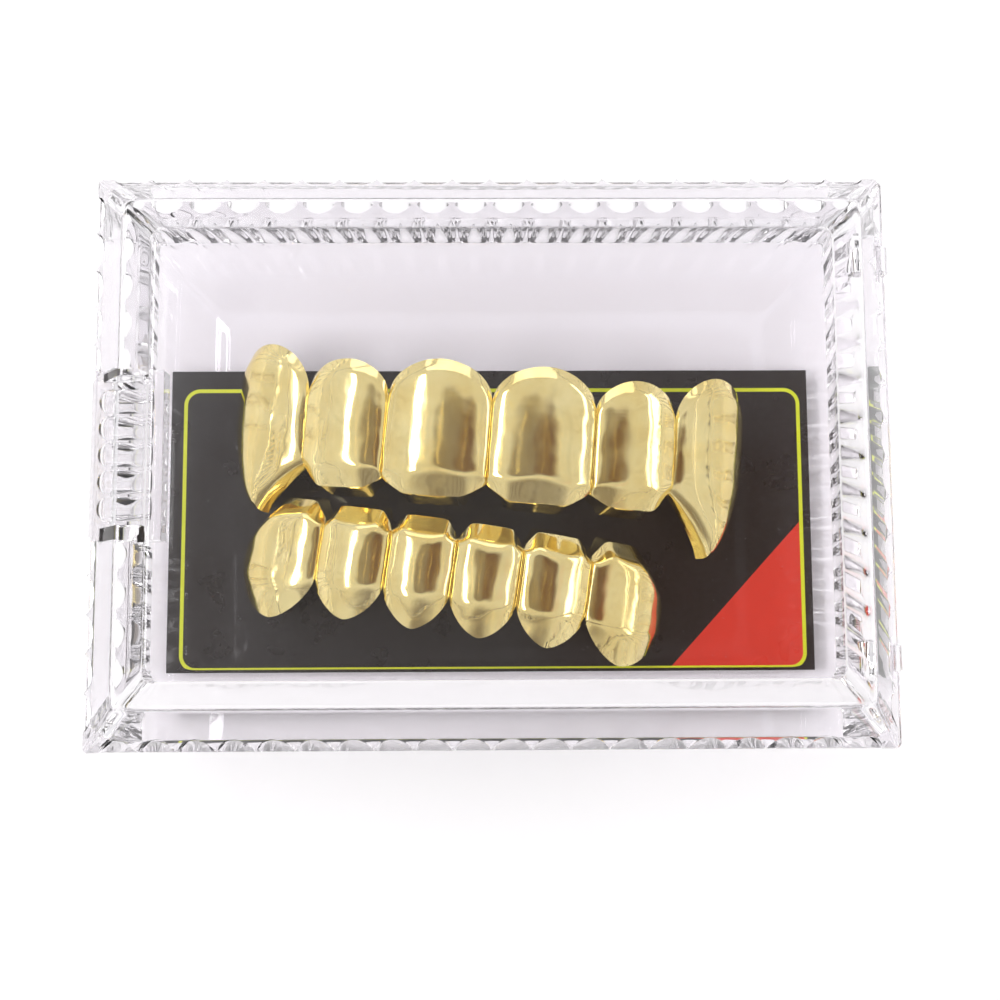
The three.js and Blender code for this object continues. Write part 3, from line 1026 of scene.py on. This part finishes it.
def add_camera():
    tilt, azimuth, roll = CAMERA_TILT, CAMERA_AZIMUTH, CAMERA_ROLL
    across, down = math.sin(tilt), math.cos(tilt)
    forward = Vector((across * math.sin(azimuth), across * math.cos(azimuth), -down))
    level = Vector((math.cos(azimuth), -math.sin(azimuth), 0))
    above = level.cross(forward)
    right = level * math.cos(roll) + above * math.sin(roll)
    up = above * math.cos(roll) - level * math.sin(roll)
    data = bpy.data.cameras.new("camera")
    data.lens = CAMERA_LENS
    data.sensor_width = 36
    data.clip_start = 0.005
    camera = bpy.data.objects.new("camera", data)
    bpy.context.scene.collection.objects.link(camera)
    rotation = Matrix((right, up, -forward)).transposed()
    camera.matrix_world = Matrix.Translation(CAMERA_PLACE) @ rotation.to_4x4()
    bpy.context.scene.camera = camera


def area_light(name, place, size, power, colour=(1, 1, 1)):
    """A soft rectangular light that points at the box."""
    data = bpy.data.lights.new(name, "AREA")
    data.shape = "RECTANGLE"
    data.size, data.size_y = size
    data.energy = power
    data.color = colour
    light = bpy.data.objects.new(name, data)
    bpy.context.scene.collection.objects.link(light)
    place = Vector(place)
    back = place.normalized()
    side = Vector((0, 1, 0)).cross(back).normalized()
    turn = Matrix((side, back.cross(side), back)).transposed()
    light.matrix_world = Matrix.Translation(place) @ turn.to_4x4()


def studio_world():
    """Pale surroundings, darker low in front, and darker and browner overhead by the photographer."""
    world = bpy.data.worlds.new("studio")
    world.use_nodes = True
    tree = world.node_tree
    tree.nodes.clear()
    way = add_node(tree, "ShaderNodeTexCoord").outputs["Generated"]
    split = add_node(tree, "ShaderNodeSeparateXYZ", {0: way})
    ahead = add_node(tree, "ShaderNodeVectorMath", {0: way, 1: FRONT_WAY}, operation="DOT_PRODUCT")
    front = remap(tree, ahead.outputs["Value"], 0.86, 0.97, 0, 1)
    colour = mix_colour(tree, front, WORLD_PALE, WORLD_FRONT)
    facing = add_node(tree, "ShaderNodeVectorMath", {0: way, 1: BROWN_WAY}, operation="DOT_PRODUCT")
    brown = remap(tree, facing.outputs["Value"], 0.955, 0.985, 0, 1)
    overhead = remap(tree, split.outputs[2], 0.94, 0.97, 0, 1)
    colour = mix_colour(tree, overhead, colour, WORLD_OVERHEAD)
    colour = mix_colour(tree, brown, colour, WORLD_BROWN)
    shade_node = add_node(tree, "ShaderNodeBackground", {"Color": colour, "Strength": 1.0})
    output = add_node(tree, "ShaderNodeOutputWorld")
    tree.links.new(shade_node.outputs[0], output.inputs[0])
    bpy.context.scene.world = world


class DENTURES_OT_stage(bpy.types.Operator):
    """Sets the pale floor, the soft studio light and the camera"""

    bl_idname = "dentures.stage"
    bl_label = "Stage"

    def execute(self, context):
        settings = context.scene.denture_stage
        reach = 1.5
        floor = block("floor", (-reach, -reach, -0.01), (reach, reach, -FLOOR_GAP))
        material, tree, shader, _ = new_material("pale_floor")
        cloud = remap(tree, object_noise(tree, 3, 2), 0.3, 0.7, 0.98, 1.0)
        colour = mix_colour(tree, cloud, (0.93, 0.93, 0.93, 1), settings.floor)
        tree.links.new(colour, shader.inputs["Base Color"])
        shader.inputs["Roughness"].default_value = 0.6
        floor.data.materials.append(material)
        studio_world()
        power = settings.softbox
        area_light("softbox_left", (-0.42, 0.02, 0.58), (0.10, 0.7), power)
        area_light("softbox_right", (0.75, 0.1, 0.4), (0.1, 0.9), power * 0.5)
        area_light("softbox_back", (0.0, 0.8, 0.5), (0.9, 0.3), power * 0.5)
        add_camera()
        context.scene.view_settings.view_transform = "Standard"
        cycles = context.scene.cycles
        cycles.max_bounces = CLEAR_BOUNCES
        cycles.transmission_bounces = CLEAR_BOUNCES
        cycles.glossy_bounces = CLEAR_BOUNCES // 2
        cycles.diffuse_bounces = 2
        return {"FINISHED"}


class DENTURES_PT_panel(bpy.types.Panel):
    """Lists the steps and sizes of the denture box"""

    bl_label = "Dentures in a box"
    bl_idname = "DENTURES_PT_panel"
    bl_space_type = "VIEW_3D"
    bl_region_type = "UI"
    bl_category = "Dentures"

    def draw(self, context):
        for step in STEPS:
            self.layout.operator(step.bl_idname)
        for key, group in SETTINGS.items():
            column = self.layout.column()
            for field in group.__annotations__:
                column.prop(getattr(context.scene, key), field)


SETTINGS = {
    "denture_box": DentureBoxSettings,
    "dentures": DentureSettings,
    "denture_card": DentureCardSettings,
    "denture_stage": DentureStageSettings,
}
STEPS = (
    DENTURES_OT_stage,
    DENTURES_OT_base,
    DENTURES_OT_lid,
    DENTURES_OT_card,
    DENTURES_OT_dentures,
)
CLASSES = (*SETTINGS.values(), *STEPS, DENTURES_PT_panel)


def register():
    for item in CLASSES:
        bpy.utils.register_class(item)
    for key, group in SETTINGS.items():
        setattr(bpy.types.Scene, key, PointerProperty(type=group))


def unregister():
    for key in SETTINGS:
        delattr(bpy.types.Scene, key)
    for item in reversed(CLASSES):
        bpy.utils.unregister_class(item)


def main():
    register()
    clear_plastic()
    gold_plate()
    printed_card()
    bpy.ops.dentures.stage()
    bpy.ops.dentures.base()
    bpy.ops.dentures.lid()
    bpy.ops.dentures.card()
    bpy.ops.dentures.dentures()


if __name__ == "__main__":
    main()
